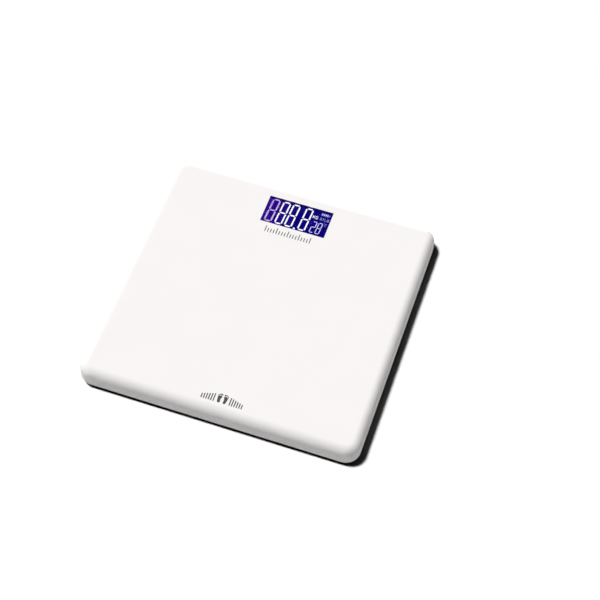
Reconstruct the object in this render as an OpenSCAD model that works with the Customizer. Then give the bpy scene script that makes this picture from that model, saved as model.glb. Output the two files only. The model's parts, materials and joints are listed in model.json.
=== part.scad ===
// Digital bathroom scale: a shallow white platform on four load-cell feet.
// X runs to the right, Y to the back, Z up. The origin is on the floor, under the centre.

/* [Platform] */
// Width of the platform, left to right
width = 305; // [304:0.5:312]
// Depth of the platform, front to back
depth = 300; // [299:0.5:308]
// Height of the standing surface above the floor
height = 26; // [25.5:0.25:28]
// Radius of the corners, seen from above
corner_r = 16; // [12:0.5:20]
// Radius of the rolled top edge
edge_r = 9.5; // [8:0.5:11]
// Wall thickness of the top cover
cover_t = 2.6; // [2.4:0.1:2.8]

/* [Base tray] */
// Gap between the base tray and the floor
ground_gap = 3.5; // [3.3:0.1:4]
// Height of the seam between the base tray and the top cover
seam_z = 6.5; // [6.3:0.1:7.2]
// Thickness of the base floor
base_t = 2.4; // [2.4:0.1:2.6]
// Radius of the bottom edge
base_edge_r = 1.5; // [1:0.25:2]

/* [Feet and load cells] */
// Distance of each foot from the centre, left to right
foot_x = 114; // [112:0.5:115]
// Distance of each foot from the centre, front to back
foot_y = 114; // [113:0.5:114.5]
// Radius of the foot carrier
foot_r = 17; // [16:0.25:17]
// Side of the square load cell
cell_side = 34; // [33.5:0.25:34.25]
// Thickness of the load cell
cell_t = 1.2; // [1:0.1:1.5]

/* [Display] */
// Width of the display window
window_w = 74; // [70:0.5:77]
// Depth of the display window
window_d = 36; // [34:0.5:37.5]
// Distance of the window's centre from the platform's centre
window_y = 114; // [112:0.5:114]

/* [Batteries] */
// Radius of one cell
battery_r = 5.25; // [5:0.05:5.25]
// Length of one cell with its positive tip
battery_l = 44.5; // [44:0.1:44.5]
// Distance of the compartment's centre from the platform's centre
battery_y = 30; // [28:0.5:34]

/* [Hidden] */
$fn = 64;

// Corner names and the side of the platform that each is on
CORNERS = ["front_left", "front_right", "back_left", "back_right"];
SIDE_X = [-1, 1, -1, 1];
SIDE_Y = [-1, -1, 1, 1];

// A cut runs this far past the faces that it opens
over = 1;

// Levels of the shells
floor_z = ground_gap + base_t;
ceiling_z = height - cover_t;
plate_t = 1;
plate_drop = 3.4;
plate_z = ceiling_z - plate_drop;
rib_w = 1.6;
base_rib_h = 2;
seam_inset = 0.5;
lip_gap = 0.25;
lip_w = 1.9;
lip_h = 2.5;

// Ribs on the base floor: those that run left to right, and those that run front to back
cross_rib_y = [-86, -30, 72];
cross_rib_l = 180;
long_rib_x = [-64, -20, 20, 64];
long_rib_y = -7;
long_rib_l = 186;

// Reinforcing plate under the standing surface
plate_inset_x = 21.5;
plate_inset_y = 19;
plate_w = width - 2 * plate_inset_x;
plate_d = depth - 2 * plate_inset_y;
plate_corner_r = 12;
plate_notch_w = 106;
plate_notch_reach = 28;
plate_notch_y = window_y - plate_notch_reach;
plate_hole_r = 9;
rib_pitch = 42;
rib_inset = 4;

// Load cell: a frame, a middle plate and a centre tongue, parted by two U-shaped slots
cell_pad_h = 2.1;
cell_z = floor_z + cell_pad_h;
cell_top_z = cell_z + cell_t;
cell_pad = 43;
outer_slot = 13;
inner_slot = 8;
slot_w = 1.5;
bridge_w = 11;

// Cell holder: a flange that locates the cell and a wall that carries the plate
holder_side = 42;
holder_wall_side = 34;
holder_bore = 27;
holder_flange_t = 3.2;
holder_gap = 0.3;
ear_r = 4.2;
ear_offset = 23;
ear_hole_r = 1.6;
ear_shank_r = 1.25;
ear_pilot_h = 6;
ear_pilot_floor = 1;
wire_notch_w = 8;
wire_notch_top = 2;

// Foot
foot_gap = 0.5;
foot_shoulder = 1.5;
foot_top_z = cell_z - foot_shoulder;
hollow_h = 2.6;
hollow_z = foot_top_z - hollow_h;
foot_rim_z = 1.2;
foot_wall = 2;
pad_wall = 1.7;
pad_r = foot_r - pad_wall;
pad_t = 2.2;
pad_groove_r = [5, 9, 13];
pad_groove_w = 1.6;
pad_groove_h = 0.6;
hub_r = 5;
foot_pin_r = 2;
tongue_hole_r = 2.3;
retainer_r = 4.2;
retainer_t = 1.1;

// Wires run in one level plane
wire_lift = 2.3;
wire_z = cell_top_z + wire_lift;
wire_r = 0.6;
wire_pitch = 2;
wire_bend = 10;
run_x = 42;
gauge_w = 5;
gauge_l = 9;
gauge_x = (slot_w - outer_slot - inner_slot) / 2;
gauge_cover = 0.3;
gauge_top_z = wire_z + wire_r + gauge_cover;

// Clips along the wires
clip_w = 10;
clip_d = 4;
clip_h = 1.4;
clip_gap = 0.2;
run_clip_y = [-60, -5, 55];
side_clip_x = 76;

// Display, from the lens down to the board
lens_flange_t = 1.4;
lens_flange = 4;
gasket_t = 0.4;
lens_fit = 0.1;
lens_gap = 0.2;
gasket_inset = 0.75;
lcd_border = 2;
lcd_w = window_w + 2 * lcd_border;
lcd_d = window_d + 2 * lcd_border;
lcd_t = 2.6;
lcd_gap = 0.3;
light_t = 3.8;
zebra_room = 5;
zebra_inset = 2.4;
zebra_l = 70;
zebra_w = 2.6;
light_d = lcd_d - zebra_room;
board_t = 1.6;
lcd_z = ceiling_z - gasket_t - lcd_t;
light_z = lcd_z - light_t;
board_z = light_z - board_t;
board_w = 102;
board_d = 52;
frame_wall = 2.7;
board_screw_x = 46.5;
board_screw_y = 18;
board_hole_r = 1.4;
board_shank_r = 1.1;
board_boss_r = 3;
arm_w = 8;
arm_t = 2;
socket_l = 8;
socket_d = 5;
socket_drop = 1.4;
socket_z = wire_z - socket_drop;

// Housing screws, from below
side_screw = [width / 2 - 12.5, 52];
end_screw = [62, depth / 2 - 13];
post_r = 5.5;
post_cap_t = 3.4;
boss_r = 5;
recess_r = 3.8;
recess_h = 5.6;
recess_top_z = ground_gap + recess_h;
post_top_z = recess_top_z + post_cap_t;
shank_r = 1.5;
shank_gap = 0.3;

// Unit button and its switch, under the board
button_x = -20;
button_y = 104;
button_r = 5;
button_flange_r = 6.6;
button_flange_t = 1.2;
button_gap = 0.4;
button_guide_h = 3;
switch_h = 4.3;
switch_side = 6;
switch_z = board_z - switch_h;
plunger_r = 1.7;
plunger_h = 2;
plunger_gap = 0.3;
plunger_out = 1.2;
plunger_z = switch_z - plunger_out;

// Battery compartment
contact_t = 0.5;
tip_gap = 0.4;
spring_l = 5.4;
bay_l = battery_l + spring_l + tip_gap + 2 * contact_t;
battery_gap = 1;
bay_side_gap = 0.4;
bay_floor_gap = 0.1;
bay_roof_gap = 0.2;
bay_d = 4 * battery_r + battery_gap + 2 * bay_side_gap;
bay_wall = 2;
battery_offset = battery_r + battery_gap / 2;
battery_z = floor_z + battery_r + bay_floor_gap;
bay_top_z = battery_z + battery_r + bay_roof_gap;
bay_roof_t = 1.6;
rim_w = 2.5;
rim_t = 1.4;
tab_w = 3;
tab_t = 0.5;
tab_out = 1.5;
tab_gap = 0.2;
lead_x = 33;

// Battery door and its hinge
door_t = 2;
door_gap = 0.25;
door_lap_x = 1.75;
door_lap_y = 2.2;
door_l = bay_l + 2 * door_lap_x;
door_d = bay_d + 2 * door_lap_y;
nail_notch_r = 6;
nail_notch_h = 1.2;
knuckle_r = 0.95;
knuckle_gap = 0.35;
hinge_inset = 1;
hinge_lift = 0.1;
hinge_y = battery_y - door_d / 2 + hinge_inset;
hinge_z = ground_gap + knuckle_r + hinge_lift;
door_pin_r = 0.7;
door_pin_l = 1.5;
pin_fit = 0.05;
pin_end_gap = 0.3;

// Label on the underside
label_y = -60;
label_w = 70;
label_d = 36;
label_t = 0.2;
label_gap = 0.5;
label_recess = 0.3;

// ---- Shared shapes ----

// Plan outline with rounded corners
module rounded_rect(w, d, r) {
    square([w - 2 * r, d], center = true);
    square([w, d - 2 * r], center = true);
    for (x = [-1, 1], y = [-1, 1])
        translate([x * (w / 2 - r), y * (d / 2 - r)]) circle(r);
}

// Upright block with rounded corners
module rounded_block(w, d, r, z0, z1) {
    translate([0, 0, z0]) linear_extrude(z1 - z0) rounded_rect(w, d, r);
}

// Block centred on X and Y, between two levels
module block(w, d, z0, z1) {
    translate([-w / 2, -d / 2, z0]) cube([w, d, z1 - z0]);
}

// Section of a side, from x = 0 out to the wall, with a rolled upper corner
module edge_section(reach, r, z0, z1) {
    translate([0, z0]) square([reach, z1 - z0 - r]);
    translate([0, z0]) square([reach - r, z1 - z0]);
    translate([reach - r, z1 - r]) intersection() {
        circle(r);
        square(r);
    }
}

// Slab with rounded plan corners and a rolled top edge
module rolled_slab(w, d, r_plan, r_roll, z0, z1) {
    x = w / 2 - r_plan;
    y = d / 2 - r_plan;
    translate([-x, -y, z0]) cube([2 * x, 2 * y, z1 - z0]);
    for (turn = [0, 180]) rotate([0, 0, turn]) {
        translate([x, y, 0]) rotate([90, 0, 0])
            linear_extrude(2 * y) edge_section(r_plan, r_roll, z0, z1);
        rotate([0, 0, 90]) translate([y, x, 0]) rotate([90, 0, 0])
            linear_extrude(2 * x) edge_section(r_plan, r_roll, z0, z1);
        translate([x, y, 0]) rotate_extrude(angle = 90) edge_section(r_plan, r_roll, z0, z1);
        translate([-x, y, 0]) rotate([0, 0, 90])
            rotate_extrude(angle = 90) edge_section(r_plan, r_roll, z0, z1);
    }
}

// Places its children at one foot, with -X pointing to the platform's middle
module at_corner(i) {
    translate([SIDE_X[i] * foot_x, SIDE_Y[i] * foot_y, 0])
        rotate([0, 0, SIDE_X[i] < 0 ? 180 : 0]) children();
}

module at_all_corners() {
    for (i = [0 : 3]) at_corner(i) children();
}

// Places its children at the two screw ears of a cell holder
module at_ears() {
    for (s = [-1, 1]) translate([s * ear_offset, -s * ear_offset, 0]) children();
}

module at_housing_screws() {
    for (x = [-1, 1], y = [-1, 1]) {
        translate([x * side_screw[0], y * side_screw[1], 0]) children();
        translate([x * end_screw[0], y * end_screw[1], 0]) children();
    }
}

module at_board_screws() {
    for (x = [-1, 1], y = [-1, 1])
        translate([x * board_screw_x, window_y + y * board_screw_y, 0]) children();
}

// Cross-head screw with its head at the bottom and its tip up
module screw_up(head_r, head_h, shaft_r, length) {
    cross_l = 1.2 * head_r;
    cross_w = 0.3 * head_r;
    cross_h = 0.45 * head_h;
    difference() {
        cylinder(r = head_r, h = head_h);
        for (turn = [0, 90]) rotate([0, 0, turn]) block(cross_l, cross_w, -over, cross_h);
    }
    translate([0, 0, head_h]) cylinder(r = shaft_r, h = length);
}

// ---- Shells ----

module cover_ribs() {
    reach = plate_w - 2 * rib_inset;
    difference() {
        for (k = [-3 : 3]) {
            translate([k * rib_pitch, 0, 0]) block(rib_w, reach, plate_z + plate_t, ceiling_z + over / 2);
            translate([0, k * rib_pitch, 0]) block(reach, rib_w, plate_z + plate_t, ceiling_z + over / 2);
        }
        translate([0, window_y, 0])
            block(plate_notch_w, 2 * (window_y - plate_notch_y), plate_z, height);
    }
}

module top_cover() {
    post_pilot_h = 10;
    board_pilot_h = 6;
    color("white") difference() {
        union() {
            difference() {
                rolled_slab(width, depth, corner_r, edge_r, seam_z, height);
                rolled_slab(width - 2 * cover_t, depth - 2 * cover_t, corner_r - cover_t,
                    edge_r - cover_t, seam_z - over, ceiling_z);
            }
            cover_ribs();
            at_housing_screws() translate([0, 0, post_top_z])
                cylinder(r = boss_r, h = ceiling_z - post_top_z + over / 2);
            at_board_screws() translate([0, 0, light_z + arm_t])
                cylinder(r = board_boss_r, h = ceiling_z - light_z - arm_t + over / 2);
        }
        at_housing_screws() translate([0, 0, post_top_z - over])
            cylinder(r = shank_r, h = post_pilot_h);
        at_board_screws() translate([0, 0, light_z]) cylinder(r = board_shank_r, h = board_pilot_h);
        translate([0, window_y, 0]) {
            block(window_w, window_d, ceiling_z - over, height + over);
            block(window_w + 2 * (lens_flange + lens_gap), window_d + 2 * (lens_flange + lens_gap),
                ceiling_z - over, ceiling_z + lens_flange_t);
        }
    }
}

module base_ribs() {
    for (y = cross_rib_y) translate([0, y, 0])
        block(cross_rib_l, rib_w, floor_z - over / 2, floor_z + base_rib_h);
    for (x = long_rib_x) translate([x, long_rib_y, 0])
        block(rib_w, long_rib_l, floor_z - over / 2, floor_z + base_rib_h);
}

module battery_bay_walls() {
    translate([0, battery_y, 0]) {
        block(bay_l + 2 * bay_wall, bay_d + 2 * bay_wall, floor_z - over / 2, bay_top_z + bay_roof_t);
        block(door_l + 2 * rim_w, door_d + 2 * rim_w, floor_z - over / 2, floor_z + rim_t);
    }
}

module battery_bay_cuts() {
    translate([0, battery_y, 0]) {
        block(bay_l, bay_d, ground_gap - over, bay_top_z);
        block(door_l + 2 * door_gap, door_d + 2 * door_gap, ground_gap - over, ground_gap + door_t);
        // Slots for the solder tabs
        for (s = [-1, 1]) translate([bay_l / 2 + bay_wall / 2, s * battery_offset, 0])
            block(bay_wall + over, tab_w + 2 * tab_gap, wire_z - tab_t, wire_z + tab_t);
        // Fingernail notch at the door's free edge
        translate([0, door_d / 2, ground_gap - over]) cylinder(r = nail_notch_r, h = over + nail_notch_h);
    }
    translate([0, hinge_y, hinge_z]) rotate([0, 90, 0]) {
        cylinder(r = knuckle_r + knuckle_gap, h = door_l + 2 * door_gap, center = true);
        cylinder(r = door_pin_r + pin_fit, h = door_l + 2 * (door_pin_l + pin_end_gap), center = true);
    }
}

module base_tray() {
    inset = cover_t + lip_gap;
    cut_h = 10;
    color([0.07, 0.07, 0.08]) difference() {
        union() {
            difference() {
                union() {
                    mirror([0, 0, 1]) rolled_slab(width - 2 * seam_inset, depth - 2 * seam_inset,
                        corner_r - seam_inset, base_edge_r, -seam_z, -ground_gap);
                    rounded_block(width - 2 * inset, depth - 2 * inset, corner_r - inset,
                        seam_z - over, seam_z + lip_h);
                }
                rounded_block(width - 2 * (inset + lip_w), depth - 2 * (inset + lip_w),
                    corner_r - inset - lip_w, floor_z, seam_z + lip_h + over);
            }
            base_ribs();
            battery_bay_walls();
            at_all_corners() {
                block(cell_pad, cell_pad, floor_z - over / 2, cell_z);
                at_ears() translate([0, 0, floor_z - over / 2])
                    cylinder(r = ear_r, h = cell_z - floor_z + over / 2);
            }
            at_housing_screws() translate([0, 0, floor_z - over / 2])
                cylinder(r = post_r, h = post_top_z - floor_z + over / 2);
            translate([button_x, button_y, floor_z - over / 2])
                cylinder(r = button_flange_r + button_gap + rib_w, h = button_guide_h + over / 2);
        }
        battery_bay_cuts();
        at_all_corners() {
            translate([0, 0, ground_gap - over]) cylinder(r = foot_r + foot_gap, h = cut_h);
            at_ears() translate([0, 0, ground_gap + ear_pilot_floor])
                cylinder(r = ear_shank_r, h = ear_pilot_h);
        }
        at_housing_screws() {
            translate([0, 0, ground_gap - over]) cylinder(r = recess_r, h = over + recess_h);
            translate([0, 0, ground_gap]) cylinder(r = shank_r + shank_gap, h = cut_h);
        }
        translate([button_x, button_y, 0]) {
            translate([0, 0, ground_gap - over]) cylinder(r = button_r + button_gap, h = cut_h);
            translate([0, 0, floor_z]) cylinder(r = button_flange_r + button_gap, h = cut_h);
        }
        translate([0, label_y, 0]) block(label_w + 2 * label_gap, label_d + 2 * label_gap,
            ground_gap - over, ground_gap + label_recess);
    }
}

// Pressed steel sheet that spreads the load over the four cell holders, with four lightening holes
module stiffener_plate() {
    color([0.72, 0.73, 0.75]) difference() {
        rounded_block(plate_w, plate_d, plate_corner_r, plate_z, plate_z + plate_t);
        translate([0, plate_notch_y + plate_d / 2, 0])
            block(plate_notch_w, plate_d, plate_z - over, plate_z + plate_t + over);
        for (x = [-1, 1], y = [-0.5, 0.5]) translate([x * plate_w / 6, y * plate_d / 3, plate_z - over])
            cylinder(r = plate_hole_r, h = plate_t + 2 * over);
    }
}

// ---- Display ----

module display_lens() {
    color([0.75, 0.8, 0.85, 0.35]) translate([0, window_y, 0]) {
        block(window_w - 2 * lens_fit, window_d - 2 * lens_fit, ceiling_z + lens_flange_t, height);
        block(window_w + 2 * lens_flange, window_d + 2 * lens_flange,
            ceiling_z, ceiling_z + lens_flange_t);
    }
}

module lens_gasket() {
    color([0.15, 0.15, 0.15]) translate([0, window_y, 0]) difference() {
        block(lcd_w, lcd_d, ceiling_z - gasket_t, ceiling_z);
        block(window_w + 2 * gasket_inset, window_d + 2 * gasket_inset,
            ceiling_z - gasket_t - over, ceiling_z + over);
    }
}

module lcd_panel() {
    color([0.08, 0.05, 0.6]) translate([0, window_y, 0]) block(lcd_w, lcd_d, lcd_z, lcd_z + lcd_t);
}

module lcd_backlight() {
    color([0.9, 0.92, 0.97]) translate([0, window_y, 0]) {
        translate([0, (light_d - lcd_d) / 2, 0]) block(lcd_w, light_d, light_z, lcd_z);
    }
}

module zebra_strip() {
    color([0.85, 0.45, 0.55]) translate([0, window_y + lcd_d / 2 - zebra_inset, 0])
        block(zebra_l, zebra_w, light_z, lcd_z);
}

module display_holder() {
    pocket_w = lcd_w + 2 * lcd_gap;
    pocket_d = lcd_d + 2 * lcd_gap;
    color([0.93, 0.93, 0.9]) translate([0, window_y, 0]) difference() {
        union() {
            block(pocket_w + 2 * frame_wall, pocket_d + 2 * frame_wall,
                light_z, ceiling_z - gasket_t);
            for (y = [-1, 1]) translate([0, y * board_screw_y, 0])
                block(2 * board_screw_x + arm_w, arm_w, light_z, light_z + arm_t);
        }
        block(pocket_w, pocket_d, light_z - over, ceiling_z);
        for (x = [-1, 1], y = [-1, 1])
            translate([x * board_screw_x, y * board_screw_y, light_z - over])
                cylinder(r = board_hole_r, h = arm_t + 2 * over);
    }
}

// ---- Electronics ----

module main_board() {
    color([0.1, 0.38, 0.2]) difference() {
        translate([0, window_y, 0]) block(board_w, board_d, board_z, board_z + board_t);
        at_board_screws() translate([0, 0, board_z - over])
            cylinder(r = board_hole_r, h = board_t + 2 * over);
    }
}

// Resin dome over the bare chip, on the board's underside
module chip_cover() {
    chip_x = 10;
    dome_r = 17;
    dome_h = 1.8;
    color([0.05, 0.05, 0.05]) translate([chip_x, window_y, board_z]) rotate_extrude() intersection() {
        translate([0, dome_r - dome_h]) circle(dome_r, $fn = 256);
        translate([0, -dome_h - over]) square([dome_r, dome_h + over]);
    }
}

// One component under the board, at a place measured from the board's middle
module component(x, y, w, d, h) {
    translate([x, window_y + y, 0]) block(w, d, board_z - h, board_z);
}

module board_components() {
    chip_l = 2;
    chip_w = 1.2;
    chip_h = 0.7;
    can_r = 2.5;
    can_h = 5;
    color([0.2, 0.2, 0.22]) {
        // Two rows of resistors
        for (k = [0 : 6]) component(x = -8 + 6 * k, y = -15, w = chip_l, d = chip_w, h = chip_h);
        for (k = [0 : 4]) component(x = -30, y = -2 + 3.4 * k, w = chip_w, d = chip_l, h = chip_h);
        // Crystal, regulator and memory
        component(x = 28, y = 0, w = 10, d = 4, h = 3);
        component(x = 10, y = 16, w = 5, d = 4.4, h = 1.5);
        component(x = -14, y = 10, w = 7.6, d = 4, h = 1.6);
        // Capacitor cans
        for (x = [-6, 26]) translate([x, window_y + 16, board_z - can_h]) cylinder(r = can_r, h = can_h);
    }
}

// Sockets for the four load cells, and one for the battery leads
module wire_connectors() {
    battery_socket_l = 6;
    front_y = window_y - (board_d - socket_d) / 2;
    color([0.95, 0.94, 0.88]) {
        for (s = [-1, 1]) {
            translate([s * (board_w - socket_d) / 2, foot_y, 0])
                block(socket_d, socket_l, socket_z, board_z);
            translate([s * run_x, front_y, 0]) block(socket_l, socket_d, socket_z, board_z);
        }
        translate([lead_x, front_y, 0]) block(battery_socket_l, socket_d, socket_z, board_z);
    }
}

module board_screws() {
    head_r = 2.5;
    head_h = 1.6;
    length = 7.5;
    color([0.75, 0.75, 0.78]) at_board_screws() translate([0, 0, board_z - head_h])
        screw_up(head_r, head_h, board_shank_r, length);
}

module housing_screws() {
    head_r = 3.3;
    head_h = 2.2;
    length = 11;
    color([0.2, 0.2, 0.22]) at_housing_screws() translate([0, 0, recess_top_z - head_h])
        screw_up(head_r, head_h, shank_r, length);
}

module holder_screws() {
    head_r = 2.8;
    head_h = 1.8;
    end_gap = 0.2;
    length = cell_z + holder_flange_t - ground_gap - ear_pilot_floor - end_gap;
    color([0.75, 0.75, 0.78]) at_all_corners() at_ears()
        translate([0, 0, cell_z + holder_flange_t + head_h]) rotate([180, 0, 0])
            screw_up(head_r, head_h, ear_shank_r, length);
}

// ---- Unit button ----

module switch_body() {
    bore_h = 2.5;
    color([0.1, 0.1, 0.1]) translate([button_x, button_y, 0]) difference() {
        block(switch_side, switch_side, switch_z, board_z);
        translate([0, 0, switch_z - over]) cylinder(r = plunger_r + plunger_gap, h = bore_h + over);
    }
}

module switch_plunger() {
    color([0.85, 0.85, 0.85]) translate([button_x, button_y, plunger_z])
        cylinder(r = plunger_r, h = plunger_h);
}

module unit_button() {
    face_z = ground_gap + 0.4;
    flange_top_z = floor_z + button_flange_t;
    stem_r = 2;
    dish_r = 18;
    dish_h = 0.5;
    color([0.85, 0.86, 0.87]) translate([button_x, button_y, 0]) {
        difference() {
            translate([0, 0, face_z]) cylinder(r = button_r, h = floor_z - face_z);
            translate([0, 0, face_z - dish_r + dish_h]) sphere(dish_r);
        }
        translate([0, 0, floor_z]) cylinder(r = button_flange_r, h = button_flange_t);
        translate([0, 0, flange_top_z]) cylinder(r = stem_r, h = plunger_z - flange_top_z);
    }
}

// ---- Batteries ----

module battery_door() {
    plate_front = hinge_y;
    plate_back = battery_y + door_d / 2;
    tongue_w = 14;
    tongue_l = 7;
    slot = 0.9;
    groove_l = 11;
    groove_w = 0.8;
    groove_h = 0.4;
    groove_pitch = 1.8;
    first_groove = 1.6;
    color([0.07, 0.07, 0.08]) {
        difference() {
            translate([-door_l / 2, plate_front, ground_gap])
                cube([door_l, plate_back - plate_front, door_t]);
            // U-shaped slot that frees the catch's tongue
            for (s = [-1, 1]) translate([s * (tongue_w + slot) / 2, plate_back - tongue_l / 2, 0])
                block(slot, tongue_l + over, ground_gap - over, ground_gap + door_t + over);
            // Grip grooves across the tongue
            for (k = [0 : 2]) translate([0, plate_back - first_groove - groove_pitch * k, 0])
                block(groove_l, groove_w, ground_gap - over, ground_gap + groove_h);
        }
        translate([0, hinge_y, hinge_z]) rotate([0, 90, 0]) {
            cylinder(r = knuckle_r, h = door_l, center = true);
            cylinder(r = door_pin_r, h = door_l + 2 * door_pin_l, center = true);
        }
    }
}

// One cell, lying along X with its tip towards +X
module battery(y, turn) {
    tip_l = 1;
    tip_r = 1.9;
    shell_l = battery_l - tip_l;
    bevel = 0.4;
    start = spring_l + contact_t - bay_l / 2;
    color([0.16, 0.36, 0.3]) translate([0, battery_y + y, battery_z]) rotate([0, 0, turn])
        translate([start, 0, 0]) rotate([0, 90, 0]) rotate_extrude() polygon([
            [0, 0], [battery_r - bevel, 0], [battery_r, bevel], [battery_r, shell_l - bevel],
            [battery_r - bevel, shell_l], [tip_r, shell_l], [tip_r, battery_l], [0, battery_l]
        ]);
}

module battery_front() {
    battery(-battery_offset, 0);
}

module battery_back() {
    battery(battery_offset, 180);
}

// Closed tube swept along a list of points that climbs in X
module coil_tube(points, r, sides) {
    n = len(points);
    rings = [for (i = [0 : n - 1], k = [0 : sides - 1])
        let (
            ahead = points[min(i + 1, n - 1)] - points[max(i - 1, 0)],
            side_a = cross(ahead, [1, 0, 0]) / norm(cross(ahead, [1, 0, 0])),
            side_b = cross(side_a, ahead) / norm(ahead),
            turn = 360 * k / sides
        )
        points[i] + r * (cos(turn) * side_a + sin(turn) * side_b)];
    walls = [for (i = [0 : n - 2], k = [0 : sides - 1])
        let (a = i * sides + k, b = i * sides + (k + 1) % sides)
        [a, a + sides, b + sides, b]];
    start_cap = [for (k = [0 : sides - 1]) k];
    end_cap = [for (k = [sides - 1 : -1 : 0]) (n - 1) * sides + k];
    polyhedron(points = rings, faces = concat([start_cap], walls, [end_cap]));
}

// Conical coil springs that press on the cells' flat ends
module contact_springs() {
    turns = 4;
    steps = 10;
    sides = 6;
    base_r = 3.9;
    tip_r = 2.6;
    spring_wire_r = 0.35;
    start = spring_wire_r + 0.05;
    span = spring_l - 2 * start;
    path = [for (i = [0 : turns * steps])
        let (t = i / (turns * steps), coil_r = base_r + (tip_r - base_r) * t)
        [start + span * t, coil_r * cos(360 * i / steps), coil_r * sin(360 * i / steps)]];
    color([0.8, 0.8, 0.82]) translate([0, battery_y, battery_z]) for (turn = [0, 180])
        rotate([0, 0, turn]) translate([contact_t - bay_l / 2, -battery_offset, 0])
            coil_tube(path, spring_wire_r, sides);
}

module contact_plates() {
    plate_h = 8;
    single_w = 8.6;
    double_w = bay_d - 2;
    dimple_r = 1.6;
    dimple_top_r = 1.2;
    color([0.8, 0.8, 0.82]) translate([0, battery_y, 0]) {
        // The bridge joins the two cells at the left end
        translate([(contact_t - bay_l) / 2, 0, 0])
            block(contact_t, double_w, battery_z - plate_h / 2, battery_z + plate_h / 2);
        for (s = [-1, 1]) {
            translate([(bay_l - contact_t) / 2, s * battery_offset, 0]) {
                block(contact_t, single_w, battery_z - plate_h / 2, battery_z + plate_h / 2);
                translate([(bay_wall + contact_t + tab_out) / 2, 0, 0])
                    block(bay_wall + tab_out, tab_w, wire_z - tab_t / 2, wire_z + tab_t / 2);
            }
            // Dimples under the positive tips
            translate([s * (bay_l / 2 - contact_t), -s * battery_offset, battery_z])
                rotate([0, -s * 90, 0]) cylinder(r1 = dimple_r, r2 = dimple_top_r, h = tip_gap);
        }
    }
}

// ---- Wires ----

module wire_along_x(x0, x1, y) {
    translate([x0, y, wire_z]) rotate([0, 90, 0]) cylinder(r = wire_r, h = x1 - x0);
}

module wire_along_y(x, y0, y1) {
    translate([x, y0, wire_z]) rotate([-90, 0, 0]) cylinder(r = wire_r, h = y1 - y0);
}

// Quarter bend about a centre, from one heading to the next
module wire_corner(x, y, bend, heading) {
    translate([x, y, wire_z]) rotate([0, 0, heading])
        rotate_extrude(angle = 90) translate([bend, 0]) circle(wire_r);
}

module battery_leads() {
    start_x = bay_l / 2 + bay_wall + tab_out;
    bend = 2;
    end_y = window_y - board_d / 2;
    for (k = [0, 1]) {
        x = lead_x + (0.5 - k) * wire_pitch;
        y = battery_y + (2 * k - 1) * battery_offset;
        color(k == 0 ? "red" : "black") {
            wire_along_x(start_x, x - bend, y);
            wire_corner(x - bend, y + bend, bend, 270);
            wire_along_y(x, y + bend, end_y);
        }
    }
}

module cell_wires(i) {
    start_x = foot_x + gauge_x - gauge_w / 2;
    tones = ["red", "white", "black"];
    mirror([SIDE_X[i] < 0 ? 1 : 0, 0, 0]) for (k = [-1 : 1]) {
        shift = k * wire_pitch;
        y = SIDE_Y[i] * foot_y + shift;
        color(tones[k + 1]) {
            if (SIDE_Y[i] > 0) {
                wire_along_x(board_w / 2, start_x, y);
            } else {
                wire_along_x(run_x + wire_bend, start_x, y);
                wire_corner(run_x + wire_bend, wire_bend - foot_y, wire_bend - shift, 180);
                wire_along_y(run_x + shift, wire_bend - foot_y, window_y - board_d / 2);
            }
        }
    }
}

// Open saddles that keep the wires off the base floor
module wire_clips() {
    color([0.9, 0.9, 0.86]) for (s = [-1, 1]) {
        for (y = run_clip_y) translate([s * run_x, y, 0]) wire_clip();
        for (y = [-1, 1]) translate([s * side_clip_x, y * foot_y, 0]) rotate([0, 0, 90]) wire_clip();
    }
}

module wire_clip() {
    difference() {
        block(clip_w, clip_d, floor_z, wire_z + clip_h);
        block(2 * (wire_pitch + wire_r + clip_gap), clip_d + 2 * over,
            wire_z - wire_r, wire_z + clip_h + over);
    }
}

module rating_label() {
    color([0.8, 0.8, 0.82]) translate([0, label_y, 0])
        block(label_w, label_d, ground_gap + label_recess - label_t, ground_gap + label_recess);
}

// ---- Corner parts, drawn with -X pointing to the platform's middle ----

// U-shaped slot with its open side, the bridge, facing +X
module u_slot(half) {
    difference() {
        square(2 * half, center = true);
        square(2 * (half - slot_w), center = true);
        translate([half, 0]) square([2 * half, bridge_w], center = true);
    }
}

module load_cell(i) {
    color([0.72, 0.73, 0.75]) at_corner(i) translate([0, 0, cell_z]) linear_extrude(cell_t) difference() {
        square(cell_side, center = true);
        u_slot(outer_slot);
        rotate([0, 0, 180]) u_slot(inner_slot);
        circle(tongue_hole_r);
    }
}

// Sealant over the gauge, on the bridge between the middle plate and the tongue
module strain_gauge(i) {
    notch = 1;
    color([0.93, 0.93, 0.9]) at_corner(i) translate([gauge_x, 0, cell_top_z])
        linear_extrude(gauge_top_z - cell_top_z) {
            square([gauge_w - notch, gauge_l], center = true);
            square([gauge_w, gauge_l - notch], center = true);
        }
}

module cell_holder(i) {
    color([0.12, 0.12, 0.13]) at_corner(i) difference() {
        union() {
            block(holder_side, holder_side, cell_z, cell_z + holder_flange_t);
            block(holder_wall_side, holder_wall_side, cell_z + holder_flange_t, plate_z);
            at_ears() translate([0, 0, cell_z]) cylinder(r = ear_r, h = holder_flange_t);
        }
        block(cell_side + holder_gap, cell_side + holder_gap, cell_z - over, cell_top_z);
        block(holder_bore, holder_bore, cell_z, plate_z + over);
        // Notch for the wires
        translate([-holder_side / 2, 0, 0])
            block(holder_side - holder_bore + 2 * over, wire_notch_w, cell_top_z, wire_z + wire_notch_top);
        at_ears() translate([0, 0, cell_z - over])
            cylinder(r = ear_hole_r, h = holder_flange_t + 2 * over);
    }
}

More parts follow.
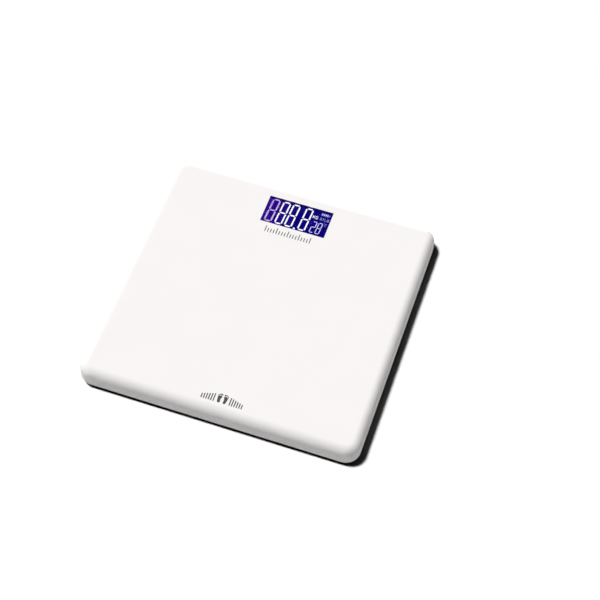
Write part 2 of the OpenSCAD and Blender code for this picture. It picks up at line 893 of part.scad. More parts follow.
module foot_carrier(i) {
    spoke_w = 1.2;
    spoke_h = 1.8;
    spoke_lap = 0.5;
    pin_out = 0.5;
    color([0.1, 0.1, 0.11]) at_corner(i) {
        difference() {
            translate([0, 0, foot_rim_z]) cylinder(r = foot_r, h = foot_top_z - foot_rim_z);
            translate([0, 0, foot_rim_z - over]) cylinder(r = pad_r, h = over + pad_t - foot_rim_z);
            translate([0, 0, hollow_z]) difference() {
                cylinder(r = foot_r - foot_wall, h = hollow_h + over);
                cylinder(r = hub_r, h = hollow_h + over);
            }
        }
        translate([0, 0, hollow_z]) cylinder(r = hub_r, h = cell_z - hollow_z);
        translate([0, 0, cell_z]) cylinder(r = foot_pin_r, h = cell_t + retainer_t + pin_out);
        for (turn = [0 : 60 : 300]) rotate([0, 0, turn])
            translate([hub_r - spoke_lap, -spoke_w / 2, hollow_z])
                cube([foot_r - hub_r - 2 * spoke_lap, spoke_w, spoke_h]);
    }
}

module foot_pad(i) {
    color([0.2, 0.2, 0.21]) at_corner(i) difference() {
        cylinder(r = pad_r, h = pad_t);
        // Grip grooves
        for (r = pad_groove_r) translate([0, 0, -over]) difference() {
            cylinder(r = r, h = over + pad_groove_h);
            cylinder(r = r - pad_groove_w, h = over + pad_groove_h);
        }
    }
}

module foot_retainer(i) {
    tooth_l = 2.2;
    tooth_gap = 0.7;
    color([0.75, 0.75, 0.78]) at_corner(i) translate([0, 0, cell_top_z]) difference() {
        cylinder(r = retainer_r, h = retainer_t);
        translate([0, 0, -over]) cylinder(r = foot_pin_r, h = retainer_t + 2 * over);
        for (turn = [0 : 60 : 300]) rotate([0, 0, turn]) translate([retainer_r, 0, 0])
            block(tooth_l, tooth_gap, -over, retainer_t + over);
    }
}

// ---- Drawing ----

top_cover();
base_tray();
stiffener_plate();
display_lens();
lens_gasket();
lcd_panel();
lcd_backlight();
zebra_strip();
display_holder();
main_board();
chip_cover();
board_components();
wire_connectors();
board_screws();
housing_screws();
holder_screws();
switch_body();
switch_plunger();
unit_button();
battery_door();
battery_front();
battery_back();
contact_springs();
contact_plates();
battery_leads();
wire_clips();
rating_label();
for (i = [0 : 3]) {
    load_cell(i);
    strain_gauge(i);
    cell_holder(i);
    foot_carrier(i);
    foot_pad(i);
    foot_retainer(i);
    cell_wires(i);
}
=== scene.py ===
import json
import math

import bmesh
import bpy
from mathutils import Matrix, Vector


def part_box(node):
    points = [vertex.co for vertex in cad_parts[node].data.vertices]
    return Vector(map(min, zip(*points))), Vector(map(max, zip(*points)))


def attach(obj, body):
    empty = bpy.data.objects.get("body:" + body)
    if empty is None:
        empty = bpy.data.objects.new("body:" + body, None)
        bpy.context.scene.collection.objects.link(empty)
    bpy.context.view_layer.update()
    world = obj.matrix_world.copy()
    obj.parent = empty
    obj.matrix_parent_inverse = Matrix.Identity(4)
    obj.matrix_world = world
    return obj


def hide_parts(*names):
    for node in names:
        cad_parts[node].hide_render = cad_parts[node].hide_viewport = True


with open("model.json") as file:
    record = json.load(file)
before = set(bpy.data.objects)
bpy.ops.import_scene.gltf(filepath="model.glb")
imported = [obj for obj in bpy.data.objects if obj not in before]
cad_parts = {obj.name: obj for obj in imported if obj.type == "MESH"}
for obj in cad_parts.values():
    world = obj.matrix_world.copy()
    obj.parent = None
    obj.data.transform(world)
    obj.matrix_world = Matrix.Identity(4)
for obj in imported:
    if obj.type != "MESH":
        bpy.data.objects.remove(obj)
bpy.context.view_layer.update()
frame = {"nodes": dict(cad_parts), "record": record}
NODES = frame["nodes"]
MM = 0.001


# ---- Camera, light and floor ----

CAMERA_AZIMUTH = 16.52
CAMERA_ELEVATION = 56.18
CAMERA_ROLL = 2.53
CAMERA_DISTANCE = 1.6623
CAMERA_TARGET = Vector((0.03605, 0.01847, 0.013))
CAMERA_LENS = 92.77

# A mid-tone floor under a strong sun of its own renders white and keeps its shadow dark
FLOOR_HALF = 15
FLOOR_ALBEDO = 0.4

# Reflections see white walls up to the first height and a dim ceiling from the second, on a unit sphere
WALLS_END = 0.45
CEILING_START = 0.7
CEILING_STRENGTH = 0.004


def make_camera():
    """Camera on a line from the target, up and to the right of the object's front."""
    az, el, roll = (math.radians(a) for a in (CAMERA_AZIMUTH, CAMERA_ELEVATION, CAMERA_ROLL))
    back = Vector((math.sin(az) * math.cos(el), -math.cos(az) * math.cos(el), math.sin(el)))
    right = Vector((0, 0, 1)).cross(back).normalized()
    up = back.cross(right)
    rolled_right = right * math.cos(roll) + up * math.sin(roll)
    rolled_up = back.cross(rolled_right)
    data = bpy.data.cameras.new("camera")
    data.sensor_width = 36
    data.lens = CAMERA_LENS
    data.clip_start = 0.01
    data.clip_end = 100
    camera = bpy.data.objects.new("camera", data)
    axes = Matrix((rolled_right, rolled_up, back)).transposed().to_4x4()
    camera.matrix_world = Matrix.Translation(CAMERA_TARGET + back * CAMERA_DISTANCE) @ axes
    bpy.context.collection.objects.link(camera)
    bpy.context.scene.camera = camera


def sun(name, heading, elevation, strength, spread, floor, lights_floor=False):
    """Soft sun that lights either the floor or everything else, with its angles in degrees.

    Heading 0 is from the left, 90 from behind and 180 from the right.
    """
    heading, elevation = math.radians(heading), math.radians(elevation)
    data = bpy.data.lights.new(name, "SUN")
    data.energy = strength
    data.angle = math.radians(spread)
    data.color = (1.0, 0.997, 0.993)
    light = bpy.data.objects.new(name, data)
    light.visible_glossy = False
    towards = Vector((
        -math.cos(heading) * math.cos(elevation),
        math.sin(heading) * math.cos(elevation),
        math.sin(elevation)))
    light.rotation_euler = towards.to_track_quat("Z", "Y").to_euler()
    bpy.context.collection.objects.link(light)
    lit = bpy.data.collections.new(f"{name}_receivers")
    lit.objects.link(floor)
    lit.collection_objects[0].light_linking.link_state = "INCLUDE" if lights_floor else "EXCLUDE"
    light.light_linking.receiver_collection = lit


def make_light(floor):
    """A soft key from the left, a higher one for the floor, and weak ones from behind and the right."""
    sun("key", heading=18.5, elevation=60.5, strength=5.09, spread=45, floor=floor)
    sun("floor_key", heading=-4, elevation=68, strength=8.78, spread=10, floor=floor, lights_floor=True)
    sun("back_rim", heading=80, elevation=5, strength=1.7, spread=8, floor=floor)
    sun("side_fill", heading=180, elevation=2, strength=0.3, spread=8, floor=floor)


def make_world():
    """Studio that is white to the camera; reflections see its white walls and dim ceiling."""
    world = bpy.data.worlds.new("studio")
    bpy.context.scene.world = world
    world.use_nodes = True
    tree = world.node_tree
    tree.nodes.clear()

    def background(colour, strength):
        node = tree.nodes.new("ShaderNodeBackground")
        node.inputs["Color"].default_value = (*colour, 1)
        node.inputs["Strength"].default_value = strength
        return node.outputs[0]

    def combined(operation, first, second):
        node = tree.nodes.new("ShaderNodeMath")
        node.operation = operation
        tree.links.new(first, node.inputs[0])
        tree.links.new(second, node.inputs[1])
        return node.outputs[0]

    way = tree.nodes.new("ShaderNodeTexCoord")
    parts = tree.nodes.new("ShaderNodeSeparateXYZ")
    walls = tree.nodes.new("ShaderNodeMapRange")
    walls.inputs["From Min"].default_value = WALLS_END
    walls.inputs["From Max"].default_value = CEILING_START
    walls.inputs["To Min"].default_value = 1
    walls.inputs["To Max"].default_value = 0
    tree.links.new(way.outputs["Generated"], parts.inputs[0])
    tree.links.new(parts.outputs["Z"], walls.inputs["Value"])

    rays = tree.nodes.new("ShaderNodeLightPath")
    mirrored = combined("MULTIPLY", rays.outputs["Is Glossy Ray"], walls.outputs["Result"])
    mix = tree.nodes.new("ShaderNodeMixShader")
    out = tree.nodes.new("ShaderNodeOutputWorld")
    tree.links.new(combined("MAXIMUM", rays.outputs["Is Camera Ray"], mirrored), mix.inputs[0])
    tree.links.new(background((0.9, 0.95, 1), CEILING_STRENGTH), mix.inputs[1])
    tree.links.new(background((1, 1, 1), 1), mix.inputs[2])
    tree.links.new(mix.outputs[0], out.inputs["Surface"])
    bpy.context.scene.view_settings.view_transform = "Standard"


def make_floor():
    """Plain floor, well past the frame on every side."""
    corners = [(x * FLOOR_HALF, y * FLOOR_HALF, 0) for x, y in ((-1, -1), (1, -1), (1, 1), (-1, 1))]
    mesh = bpy.data.meshes.new("floor")
    mesh.from_pydata(corners, [], [(0, 1, 2, 3)])
    floor = bpy.data.objects.new("floor", mesh)
    bpy.context.collection.objects.link(floor)
    look = bpy.data.materials.new("floor_paper")
    look.use_nodes = True
    surface = look.node_tree.nodes["Principled BSDF"]
    surface.inputs["Base Color"].default_value = (*[FLOOR_ALBEDO] * 3, 1)
    surface.inputs["Roughness"].default_value = 1
    surface.inputs["Specular IOR Level"].default_value = 0
    mesh.materials.append(look)
    return floor


make_camera()
make_light(make_floor())
make_world()


# ---- Materials ----

class Look:
    """A material's node tree, fed by each object's own coordinates in metres."""

    def __init__(self, name, colour, roughness, **inputs):
        self.material = bpy.data.materials.new(name)
        self.material.use_nodes = True
        self.tree = self.material.node_tree
        self.surface = self.tree.nodes["Principled BSDF"]
        self.colour = colour
        self.roughness = roughness
        self.surface.inputs["Base Color"].default_value = (*colour, 1)
        self.surface.inputs["Roughness"].default_value = roughness
        for key, value in inputs.items():
            self.surface.inputs[key.replace("_", " ")].default_value = value
        self.place = self.add("ShaderNodeTexCoord").outputs["Object"]

    def add(self, kind, **values):
        node = self.tree.nodes.new(kind)
        for key, value in values.items():
            setattr(node, key, value)
        return node

    def link(self, source, target):
        self.tree.links.new(source, target)

    def stretched(self, scale):
        """The object's coordinates, scaled along each axis."""
        node = self.add("ShaderNodeMapping")
        node.inputs["Scale"].default_value = scale
        self.link(self.place, node.inputs["Vector"])
        return node.outputs["Vector"]

    def noise(self, size_mm, detail=2.0, stretch=(1, 1, 1)):
        """Noise between 0 and 1 with features of about that size."""
        node = self.add("ShaderNodeTexNoise")
        node.inputs["Scale"].default_value = 1
        node.inputs["Detail"].default_value = detail
        self.link(self.stretched(tuple(s / (size_mm * MM) for s in stretch)), node.inputs["Vector"])
        return node.outputs["Fac"]

    def ranged(self, source, low, high, from_low=0.3, from_high=0.7):
        """Maps a range, which is the one where noise mostly stays unless given, onto low to high."""
        node = self.add("ShaderNodeMapRange")
        node.inputs["From Min"].default_value = from_low
        node.inputs["From Max"].default_value = from_high
        node.inputs["To Min"].default_value = low
        node.inputs["To Max"].default_value = high
        self.link(source, node.inputs["Value"])
        return node.outputs["Result"]

    def mixed(self, factor, first, second):
        """Colour mix. first and second are colours or sockets."""
        node = self.add("ShaderNodeMix", data_type="RGBA")
        self.link(factor, node.inputs[0])
        for socket, value in ((node.inputs[6], first), (node.inputs[7], second)):
            if hasattr(value, "is_linked"):
                self.link(value, socket)
            else:
                socket.default_value = (*value, 1)
        return node.outputs[2]

    def tint(self, colour_socket):
        self.link(colour_socket, self.surface.inputs["Base Color"])

    def mottle(self, size_mm, amount):
        """Slow variation of the colour's lightness."""
        darker = tuple(c * (1 - amount) for c in self.colour)
        factor = self.ranged(self.noise(size_mm, detail=3), low=0, high=1)
        self.tint(self.mixed(factor, darker, self.colour))

    def smudge(self, size_mm, spread, stretch=(1, 1, 1)):
        """Roughness that varies about its own value."""
        low, high = self.roughness - spread, self.roughness + spread
        rough = self.ranged(self.noise(size_mm, detail=4, stretch=stretch), low, high)
        self.link(rough, self.surface.inputs["Roughness"])

    def bump(self, height, depth_mm, strength=1.0):
        """Relief from a height between 0 and 1."""
        node = self.add("ShaderNodeBump")
        node.inputs["Distance"].default_value = depth_mm * MM
        node.inputs["Strength"].default_value = strength
        self.link(height, node.inputs["Height"])
        self.link(node.outputs["Normal"], self.surface.inputs["Normal"])

    def grain(self, size_mm, depth_mm, strength=1.0, stretch=(1, 1, 1)):
        """Relief from noise with features of about that size."""
        self.bump(self.noise(size_mm, stretch=stretch), depth_mm, strength)

    def axis(self, name):
        """One coordinate of the surface point, in metres."""
        node = self.add("ShaderNodeSeparateXYZ")
        self.link(self.place, node.inputs[0])
        return node.outputs[name]

    def distance(self, axis, level):
        """How far the surface point is from a level on one axis, in metres."""
        offset = self.add("ShaderNodeMath", operation="SUBTRACT")
        offset.inputs[1].default_value = level
        self.link(self.axis(axis), offset.inputs[0])
        size = self.add("ShaderNodeMath", operation="ABSOLUTE")
        self.link(offset.outputs[0], size.inputs[0])
        return size.outputs[0]

    def glow(self, colour_socket):
        """Sends out light of that colour."""
        self.link(colour_socket, self.surface.inputs["Emission Color"])
        self.surface.inputs["Emission Strength"].default_value = 1


def moulded(name, colour, roughness, grain_mm=0.35, depth_mm=0.006, mottle=0.03, **inputs):
    """Moulded plastic with a spark-eroded texture."""
    look = Look(name, colour, roughness, **inputs)
    look.mottle(size_mm=35, amount=mottle)
    look.smudge(size_mm=12, spread=0.05)
    look.grain(grain_mm, depth_mm)
    return look


def wire_look(name, colour):
    """Smooth insulation."""
    return moulded(name, colour, roughness=0.32, grain_mm=0.5, depth_mm=0.004)


def rolled_metal(name, colour, roughness, along="x"):
    """Plated sheet with fine rolling lines."""
    look = Look(name, colour, roughness, Metallic=1.0)
    stretch = (0.05, 1, 1) if along == "x" else (1, 0.05, 1)
    look.mottle(size_mm=9, amount=0.12)
    look.smudge(size_mm=0.6, spread=0.09, stretch=stretch)
    look.grain(size_mm=0.25, depth_mm=0.003, strength=0.6, stretch=stretch)
    return look


def rubbery(name, colour, roughness, grain_mm=0.25):
    """Soft moulded rubber, foam or sealant."""
    look = Look(name, colour, roughness)
    look.mottle(size_mm=4, amount=0.25)
    look.smudge(size_mm=3, spread=0.08)
    look.grain(grain_mm, depth_mm=0.01)
    return look


def board_look():
    """Green solder mask with a faint pattern of tracks."""
    track_green = (0.04, 0.24, 0.08)
    unit = 2.5 * MM
    look = Look("circuit_board", (0.012, 0.13, 0.045), roughness=0.32, Coat_Weight=0.4)
    bricks = look.add("ShaderNodeTexBrick")
    bricks.inputs["Scale"].default_value = 1
    bricks.inputs["Mortar Size"].default_value = 0.09
    bricks.inputs["Brick Width"].default_value = 2.6
    bricks.inputs["Row Height"].default_value = 0.9
    bricks.inputs["Color1"].default_value = (0, 0, 0, 1)
    bricks.inputs["Color2"].default_value = (0, 0, 0, 1)
    bricks.inputs["Mortar"].default_value = (1, 1, 1, 1)
    look.link(look.stretched((1 / unit, 1 / unit, 1 / unit)), bricks.inputs["Vector"])
    look.tint(look.mixed(bricks.outputs["Fac"], look.colour, track_green))
    look.smudge(size_mm=6, spread=0.08)
    look.bump(bricks.outputs["Fac"], depth_mm=0.02)
    return look


def battery_look(name, tip_side):
    """Printed wrap: bare metal at the tip, then a copper band, then a dark sleeve."""
    low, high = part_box(name)
    copper, bare_metal = (0.62, 0.3, 0.13), (0.6, 0.6, 0.6)
    look = Look(name + "_wrap", (0.02, 0.09, 0.08), roughness=0.28, Coat_Weight=0.5)
    from_tip = look.distance("X", low[0] if tip_side < 0 else high[0])
    past_band = look.ranged(from_tip, low=0, high=1, from_low=14.8 * MM, from_high=15.0 * MM)
    past_tip = look.ranged(from_tip, low=0, high=1, from_low=1.55 * MM, from_high=1.65 * MM)
    wrap = look.mixed(past_band, copper, look.colour)
    look.tint(look.mixed(past_tip, bare_metal, wrap))
    look.smudge(size_mm=5, spread=0.06)
    look.grain(size_mm=0.8, depth_mm=0.004)
    return look


def lit_panel_look():
    """Back-lit negative display: violet at the left, deep blue at the right, dark at the rim."""
    low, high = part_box("lcd_panel")
    middle_x, middle_y = (low[0] + high[0]) / 2, (low[1] + high[1]) / 2
    half_depth = (high[1] - low[1]) / 2
    rim_start, rim_end = half_depth - 4.5 * MM, half_depth - 1.5 * MM
    violet, blue, dull_blue, dark_blue = (
        (0.034, 0.001, 0.24), (0.0015, 0.0003, 0.16), (0.002, 0.0, 0.08), (0.002, 0.0, 0.04))
    look = Look("lcd_blue", (0.002, 0.0, 0.045), roughness=0.12)
    across = look.ranged(look.axis("X"), low=0, high=1, from_low=low[0], from_high=middle_x)
    from_middle = look.distance("Y", middle_y)
    rim = look.ranged(from_middle, low=0, high=0.75, from_low=rim_start, from_high=rim_end)
    uneven = look.ranged(look.noise(size_mm=14), low=0, high=0.18)
    shaded = look.mixed(uneven, look.mixed(across, violet, blue), dull_blue)
    look.glow(look.mixed(rim, shaded, dark_blue))
    return look


def lit_mark_look(name, colour):
    """Back-lit segment, a little uneven."""
    look = Look(name, (0.1, 0.1, 0.1), roughness=0.3)
    dimmer = tuple(c * 0.94 for c in colour)
    uneven = look.ranged(look.noise(size_mm=3), low=0, high=1)
    look.glow(look.mixed(uneven, dimmer, colour))
    return look


def lens_look():
    """Polished clear plastic."""
    look = Look("clear_lens", (0.97, 0.98, 1.0), roughness=0.02, Transmission_Weight=1.0, IOR=1.45)
    look.smudge(size_mm=20, spread=0.008)
    return look


def ink_look(name, colour):
    """Printed ink with fine unevenness."""
    look = Look(name, colour, roughness=0.5)
    look.mottle(size_mm=0.7, amount=0.12)
    look.smudge(size_mm=0.5, spread=0.08)
    return look


def label_look():
    """Silver film."""
    look = Look("label_film", (0.55, 0.56, 0.58), roughness=0.3, Metallic=0.6)
    look.mottle(size_mm=18, amount=0.08)
    look.smudge(size_mm=3, spread=0.06)
    look.grain(size_mm=0.5, depth_mm=0.002)
    return look


LOOKS = {
    "cover_white": moulded(
        "cover_white", (0.66, 0.645, 0.6425), roughness=0.5, grain_mm=0.4, depth_mm=0.004, mottle=0.012,
        Specular_IOR_Level=0.3),
    # Base tray: black plastic, its black also painted shade standing in for the dark shadow band under
    # the right and front edges
    "base_black": moulded(
        "base_black", (0.012, 0.012, 0.013), roughness=0.6, grain_mm=0.45, depth_mm=0.02, mottle=0.3,
        Specular_IOR_Level=0.3),
    "holder_black": moulded(
        "holder_black", (0.016, 0.016, 0.017), roughness=0.5, grain_mm=0.4, depth_mm=0.015, mottle=0.25),
    "component_dark": moulded(
        "component_dark", (0.02, 0.02, 0.022), roughness=0.5, grain_mm=0.2, depth_mm=0.01, mottle=0.25),
    "black_resin": moulded(
        "black_resin", (0.012, 0.012, 0.012), roughness=0.18, grain_mm=2.5, depth_mm=0.03),
    "light_guide": moulded(
        "light_guide", (0.85, 0.88, 0.95), roughness=0.3, grain_mm=0.6, depth_mm=0.004),
    "natural_plastic": moulded("natural_plastic", (0.78, 0.76, 0.68), roughness=0.45),
    "button_grey": moulded("button_grey", (0.42, 0.43, 0.45), roughness=0.4),
    "sheet_steel": rolled_metal("sheet_steel", (0.62, 0.63, 0.65), roughness=0.36),
    "zinc_screw": rolled_metal("zinc_screw", (0.66, 0.67, 0.7), roughness=0.3),
    "black_screw": rolled_metal("black_screw", (0.06, 0.06, 0.065), roughness=0.34),
    "nickel_contact": rolled_metal("nickel_contact", (0.7, 0.68, 0.63), roughness=0.24, along="y"),
    "black_foam": rubbery("black_foam", (0.02, 0.02, 0.02), roughness=0.9, grain_mm=0.5),
    "white_sealant": rubbery("white_sealant", (0.8, 0.8, 0.77), roughness=0.5, grain_mm=1.2),
    "contact_rubber": rubbery("contact_rubber", (0.6, 0.24, 0.3), roughness=0.7),
    "pad_rubber": rubbery("pad_rubber", (0.022, 0.022, 0.023), roughness=0.78),
    "clear_lens": lens_look(),
    "lcd_glass": lit_panel_look(),
    "circuit_board": board_look(),
    "label_silver": label_look(),
    "battery_front": battery_look("battery_front", tip_side=1),
    "battery_back": battery_look("battery_back", tip_side=-1),
    "wire_red": wire_look("wire_red", (0.55, 0.015, 0.012)),
    "wire_white": wire_look("wire_white", (0.82, 0.82, 0.8)),
    "wire_black": wire_look("wire_black", (0.015, 0.015, 0.015)),
    "lit_white": lit_mark_look("lit_white", (1.0, 0.99, 1.0)),
    "lit_pale": lit_mark_look("lit_pale", (0.68, 0.62, 1.0)),
    "lit_dim": lit_mark_look("lit_dim", (0.5, 0.36, 0.66)),
    "lit_blue": lit_mark_look("lit_blue", (0.36, 0.35, 0.6)),
    "lit_deep": lit_mark_look("lit_deep", (0.2, 0.15, 0.62)),
    "ink_dark": ink_look("ink_dark", (0.06, 0.06, 0.062)),
    "ink_grey": ink_look("ink_grey", (0.07, 0.07, 0.072)),
}


def dress(node, look):
    """Gives a CAD node its finish."""
    mesh = NODES[node].data
    mesh.materials.clear()
    mesh.materials.append(LOOKS[look].material)


for part in frame["record"]["subparts"]:
    name = part["node"]
    if name in LOOKS:
        dress(name, name)
    elif part["material_slot"] != "wire_cover":
        dress(name, part["material_slot"])


# ---- Flat marks: ink on the housing and lit segments in the display ----

def add_piece(name, data, look):
    """A mesh or curve as a piece that is fixed to the platform."""
    data.materials.append(LOOKS[look].material)
    piece = bpy.data.objects.new(name, data)
    bpy.context.collection.objects.link(piece)
    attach(piece, "platform")
    return piece


def round_strokes(name, paths, radius, look, resolution):
    """Round strokes with closed ends through lists of places in metres, as one piece."""
    data = bpy.data.curves.new(name, "CURVE")
    data.dimensions = "3D"
    data.bevel_depth = radius
    data.bevel_resolution = resolution
    data.use_fill_caps = True
    for path in paths:
        spline = data.splines.new("POLY")
        spline.points.add(len(path) - 1)
        for point, place in zip(spline.points, path):
            point.co = (*place, 1)
    return add_piece(name, data, look)


def flat_piece(name, outlines, level, thickness, look):
    """Thin plates with the given outlines, lists of (x, y) in metres, standing on a level."""
    built = bmesh.new()
    for outline in outlines:
        low = [built.verts.new((x, y, level)) for x, y in outline]
        high = [built.verts.new((x, y, level + thickness)) for x, y in outline]
        built.faces.new(reversed(low))
        built.faces.new(high)
        for i in range(len(outline)):
            j = (i + 1) % len(outline)
            built.faces.new((low[i], low[j], high[j], high[i]))
    bmesh.ops.recalc_face_normals(built, faces=built.faces)
    mesh = bpy.data.meshes.new(name)
    built.to_mesh(mesh)
    built.free()
    add_piece(name, mesh, look)


def moved(outline, x, y, scale):
    """The outline made larger by the scale, with its origin put at (x, y)."""
    return [(x + scale * px, y + scale * py) for px, py in outline]


def bar(x0, y0, x1, y1):
    return [(x0, y0), (x1, y0), (x1, y1), (x0, y1)]


def border_bars(x0, y0, x1, y1, wall):
    """Four bars that frame a rectangle on its inside."""
    return [
        bar(x0, y0, x1, y0 + wall), bar(x0, y1 - wall, x1, y1),
        bar(x0, y0 + wall, x0 + wall, y1 - wall), bar(x1 - wall, y0 + wall, x1, y1 - wall)]


def pointed_bar(start, end, width):
    """Segment with pointed ends, as in a seven-segment digit."""
    start, end = Vector(start), Vector(end)
    ahead = (end - start).normalized()
    side = Vector((-ahead.y, ahead.x)) * width / 2
    tip = ahead * width / 2
    corners = [start, start + tip + side, end - tip + side, end, end - tip - side, start + tip - side]
    return [tuple(c) for c in corners]


# Segments of the symbols in use, a to f clockwise from the top and g in the middle; 0 is the degree ring
SEGMENTS = {"0": "abcdef", "2": "abged", "8": "abcdefg", "C": "afed"}


def digit(symbol, x, y, width, height, stroke, gap, slant=0.045):
    """Outlines of a seven-segment symbol whose lower left corner is at (x, y)."""
    half = stroke / 2
    left, right = half, width - half
    bottom, middle, top = half, height / 2, height - half
    ends = {
        "a": ((left, top), (right, top)), "b": ((right, top), (right, middle)),
        "c": ((right, middle), (right, bottom)), "d": ((left, bottom), (right, bottom)),
        "e": ((left, middle), (left, bottom)), "f": ((left, top), (left, middle)),
        "g": ((left, middle), (right, middle)),
    }
    outlines = []
    for key in SEGMENTS[symbol]:
        start, end = (Vector(p) for p in ends[key])
        ahead = (end - start).normalized() * gap
        shape = pointed_bar(start + ahead, end - ahead, stroke)
        outlines.append([(x + px + slant * py, y + py) for px, py in shape])
    return outlines


# Letters on a grid 3 wide and 5 high, as lists of strokes
LETTERS = {
    "K": [[(0, 0), (0, 5)], [(3, 5), (0, 2.2)], [(1, 3.1), (3, 0)]],
    "G": [[(3, 4.2), (2.2, 5), (0.8, 5), (0, 4.2), (0, 0.8), (0.8, 0), (2.2, 0), (3, 0.8), (3, 2.4),
           (1.7, 2.4)]],
    "S": [[(3, 4.3), (2.2, 5), (0.8, 5), (0, 4.3), (0, 3.2), (0.8, 2.6), (2.2, 2.4), (3, 1.8), (3, 0.7),
           (2.2, 0), (0.8, 0), (0, 0.7)]],
    "T": [[(0, 5), (3, 5)], [(1.5, 5), (1.5, 0)]],
    "L": [[(0, 5), (0, 0), (2.8, 0)]],
    "B": [[(0, 0), (0, 5), (2.1, 5), (2.9, 4.3), (2.9, 3.3), (2.1, 2.6), (0, 2.6)],
          [(2.1, 2.6), (3, 1.9), (3, 0.7), (2.2, 0), (0, 0)]],
}


def lettering(word, x, y, level, height, advance):
    """Strokes of a word whose lower left corner is at (x, y), along a level."""
    unit = height / 5
    strokes = []
    for i, letter in enumerate(word):
        for stroke in LETTERS[letter]:
            strokes.append([(x + i * advance + px * unit, y + py * unit, level) for px, py in stroke])
    return strokes


def make_readout():
    """Everything that the display shows, placed by its window."""
    low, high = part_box("lcd_panel")
    border = 2 * MM
    x0, x1 = low[0] + border, high[0] - border
    y0, y1 = low[1] + border, high[1] - border
    width, depth = x1 - x0, y1 - y0
    level = high[2] + 0.02 * MM
    thick = 0.06 * MM

    def at(u, v):
        """Window place: u from the left edge, v from the back edge, each from 0 to 1."""
        return x0 + u * width, y1 - v * depth

    def lit(name, outlines, look):
        flat_piece(name, outlines, level, thick, look)

    def big_digit(u):
        return digit("8", *at(u, 0.92), 0.122 * width, 0.885 * depth, stroke=1.65 * MM, gap=0.55 * MM)

    def small_digit(symbol, u):
        return digit(symbol, *at(u, 0.89), 0.068 * width, 0.437 * depth, stroke=0.85 * MM, gap=0.2 * MM)

    # Weight, with a square point before its last digit
    lit("readout_first_digit", big_digit(0.037), "lit_dim")
    point_x, point_y = at(0.52, 0.945)
    point_side = 2 * MM
    point = bar(point_x - point_side / 2, point_y, point_x + point_side / 2, point_y + point_side)
    lit("readout_digits", big_digit(0.201) + big_digit(0.354) + big_digit(0.562) + [point], "lit_white")

    # Temperature and its unit
    lit("readout_temperature", small_digit("2", 0.744) + small_digit("8", 0.831), "lit_pale")
    unit = digit("C", *at(0.934, 0.545), 2.3 * MM, 3.8 * MM, stroke=0.6 * MM, gap=0.05 * MM)
    ring = digit("0", *at(0.914, 0.45), 1.1 * MM, 1.1 * MM, stroke=0.3 * MM, gap=0)
    lit("readout_degree", unit + ring, "lit_deep")

    # Units of weight, with the chosen one larger and brighter
    chosen = lettering("KG", *at(0.722, 0.345), level, height=3.6 * MM, advance=3.3 * MM)
    round_strokes("readout_unit_kg", chosen, 0.3 * MM, "lit_white", resolution=2)
    others = []
    for word, u in (("ST", 0.832), ("LB", 0.907)):
        others += lettering(word, *at(u, 0.345), level, height=3.1 * MM, advance=2.8 * MM)
    round_strokes("readout_unit_others", others, 0.22 * MM, "lit_blue", resolution=2)

    # Battery symbol: a faint frame with its tip, and bright charge bars
    x, y = at(0.826, 0.168)
    length, height, wall = 9.4 * MM, 3.6 * MM, 0.25 * MM
    tip_l, tip_inset = 0.7 * MM, 1.0 * MM
    tip = bar(x + length, y + tip_inset, x + length + tip_l, y + height - tip_inset)
    lit("readout_battery_case", border_bars(x, y, x + length, y + height, wall) + [tip], "lit_deep")
    first, pitch, bar_w, bar_inset = 0.9 * MM, 2.0 * MM, 1.2 * MM, 0.75 * MM
    starts = [x + first + k * pitch for k in range(4)]
    charge = [bar(start, y + bar_inset, start + bar_w, y + height - bar_inset) for start in starts]
    lit("readout_battery_charge", charge, "lit_pale")


def smooth_loop(points, steps=6):
    """Closed Catmull-Rom curve through the points."""
    n = len(points)
    loop = []
    for i in range(n):
        p0, p1, p2, p3 = (Vector(points[(i + k - 1) % n]) for k in range(4))
        for s in range(steps):
            t = s / steps
            loop.append(tuple(0.5 * (
                2 * p1 + (p2 - p0) * t + (2 * p0 - 5 * p1 + 4 * p2 - p3) * t ** 2
                + (3 * p1 - p0 - 3 * p2 + p3) * t ** 3)))
    return loop


def circle(x, y, r, steps=20):
    return [(x + r * math.cos(2 * math.pi * k / steps), y + r * math.sin(2 * math.pi * k / steps))
            for k in range(steps)]


# A left footprint, 8 units long, with its inner side at +x; each toe is a place and a radius
SOLE = [(0, 0), (0.95, 0.35), (1.25, 1.5), (0.95, 3.0), (1.3, 4.5), (1.75, 5.6), (1.1, 6.45),
        (-0.1, 6.5), (-1.3, 6.0), (-1.75, 4.9), (-1.45, 3.3), (-1.2, 1.6), (-0.9, 0.35)]
TOES = [
    (1.15, 7.5, 0.74), (0.05, 7.75, 0.52), (-0.75, 7.4, 0.45), (-1.4, 6.85, 0.4), (-1.95, 6.15, 0.34)]


def make_graduations(level, thick):
    """A row of lines in front of the display, with a taller one at every fourth."""
    low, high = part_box("lcd_panel")
    pitch, line_w, tall, short, count = 3.2 * MM, 1.0 * MM, 8.0 * MM, 5.2 * MM, 17
    reach, gap = 27.8 * MM, 10.4 * MM
    start_x = (low[0] + high[0]) / 2 - reach
    base_y = low[1] - gap
    lines = []
    for k in range(count):
        x = start_x + k * pitch
        lines.append(bar(x, base_y, x + line_w, base_y + (short if k % 4 else tall)))
    flat_piece("graduation_print", lines, level, thick, "ink_grey")


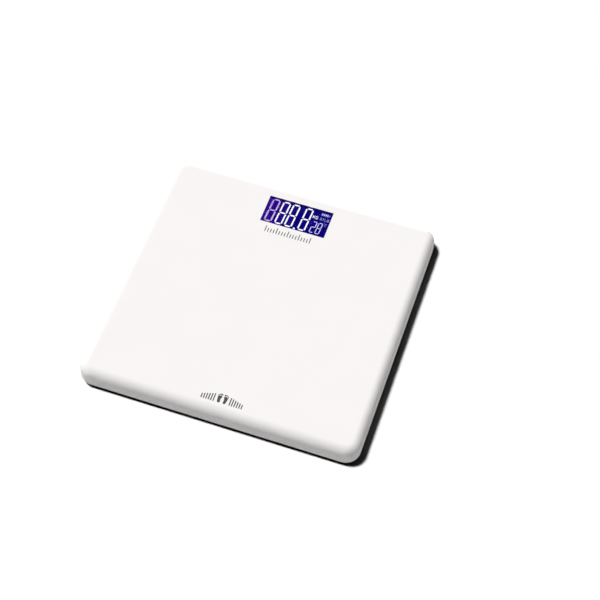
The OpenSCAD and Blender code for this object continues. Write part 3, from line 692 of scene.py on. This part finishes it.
def make_footprints(level, thick):
    """Footprints between two short rows of falling lines, near the front edge."""
    low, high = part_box("top_cover")
    aside, inset = 2.8 * MM, 13.3 * MM
    mark_x = (low[0] + high[0]) / 2 + aside
    mark_y = low[1] + inset
    unit, stance = 1.32 * MM, 3.2 * MM
    first, pitch, line_w, tall, fall, count = 8.7 * MM, 2.6 * MM, 1.2 * MM, 9.4 * MM, 0.8 * MM, 6
    shapes = []
    for side in (-1, 1):
        foot_x = mark_x + side * stance
        sole = [(-side * x, y) for x, y in smooth_loop(SOLE)]
        shapes.append(moved(sole, foot_x, mark_y, unit))
        for x, y, r in TOES:
            shapes.append(circle(foot_x - side * x * unit, mark_y + y * unit, r * unit))
        for k in range(count):
            x = mark_x + side * (first + pitch * k)
            shapes.append(bar(x - line_w / 2, mark_y, x + line_w / 2, mark_y + tall - fall * k))
    flat_piece("footprint_print", shapes, level, thick, "ink_dark")


def make_print():
    """Ink on the standing surface."""
    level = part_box("top_cover")[1][2] + 0.002 * MM
    thick = 0.006 * MM
    make_graduations(level, thick)
    make_footprints(level, thick)


def make_label_print():
    """Blank form lines on the rating label: a border and five short rows."""
    low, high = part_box("rating_label")
    thick = 0.03 * MM
    margin, wall, row_pitch, row_w, row_inset = 3 * MM, 0.4 * MM, 4.6 * MM, 1.1 * MM, 2.5 * MM
    x0, y0 = low[0] + margin, low[1] + margin
    x1, y1 = high[0] - margin, high[1] - margin
    shapes = border_bars(x0, y0, x1, y1, wall)
    for row, share in enumerate((0.62, 0.48, 0.55, 0.36, 0.44)):
        y = y1 - (row + 1) * row_pitch
        end = x1 - row_inset
        shapes.append(bar(end - share * (x1 - x0), y, end, y + row_w))
    flat_piece("label_print", shapes, low[2] - thick, thick, "ink_dark")


# ---- Wires ----

def wire(name, path, radius, look, node):
    """Insulated wire along a path, standing for its CAD solid."""
    piece = round_strokes(name, [path], radius, look, resolution=3)
    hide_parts(node)


def rounded_turn(start, corner, end, bend, level, steps=10):
    """Path in a level plane from start round a square corner to end, with a quarter bend."""
    start, corner, end = (Vector((*p, level)) for p in (start, corner, end))
    into = (start - corner).normalized() * bend
    out = (end - corner).normalized() * bend
    centre = corner + into + out
    points = [start]
    for k in range(steps + 1):
        turn = math.pi / 2 * k / steps
        points.append(centre - out * math.cos(turn) - into * math.sin(turn))
    points.append(end)
    return points


def make_wires():
    """The load cells' wires, three side by side, and the two battery leads."""
    pitch, radius, bend = 2 * MM, 0.6 * MM, 10 * MM
    tones = ("red", "white", "black")
    for side, side_name in ((-1, "left"), (1, "right")):
        for row, row_name in ((-1, "front"), (1, "back")):
            node = f"cell_wires_{row_name}_{side_name}"
            low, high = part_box(node)
            level = (low[2] + high[2]) / 2
            outer = high[0] if side > 0 else low[0]
            inner = low[0] if side > 0 else high[0]
            for k, tone in enumerate(tones):
                shift = (k - 1) * pitch
                if row > 0:
                    y = (low[1] + high[1]) / 2 + shift
                    path = [(outer, y, level), (inner, y, level)]
                else:
                    y = low[1] + radius + pitch + shift
                    x = inner + side * (radius + pitch + shift)
                    path = rounded_turn((outer, y), (x, y), (x, high[1]), bend - shift, level)
                wire(f"{node}_{tone}", path, radius, f"wire_{tone}", node)
    low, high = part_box("battery_leads")
    level = (low[2] + high[2]) / 2
    cell_pitch, lead_bend = 11.5 * MM, 2 * MM
    for k, tone in enumerate(("red", "black")):
        x, y = high[0] - radius - k * pitch, low[1] + radius + k * cell_pitch
        path = rounded_turn((low[0], y), (x, y), (x, high[1]), lead_bend, level)
        wire(f"battery_lead_{tone}", path, radius, f"wire_{tone}", "battery_leads")


make_readout()
make_print()
make_label_print()
make_wires()
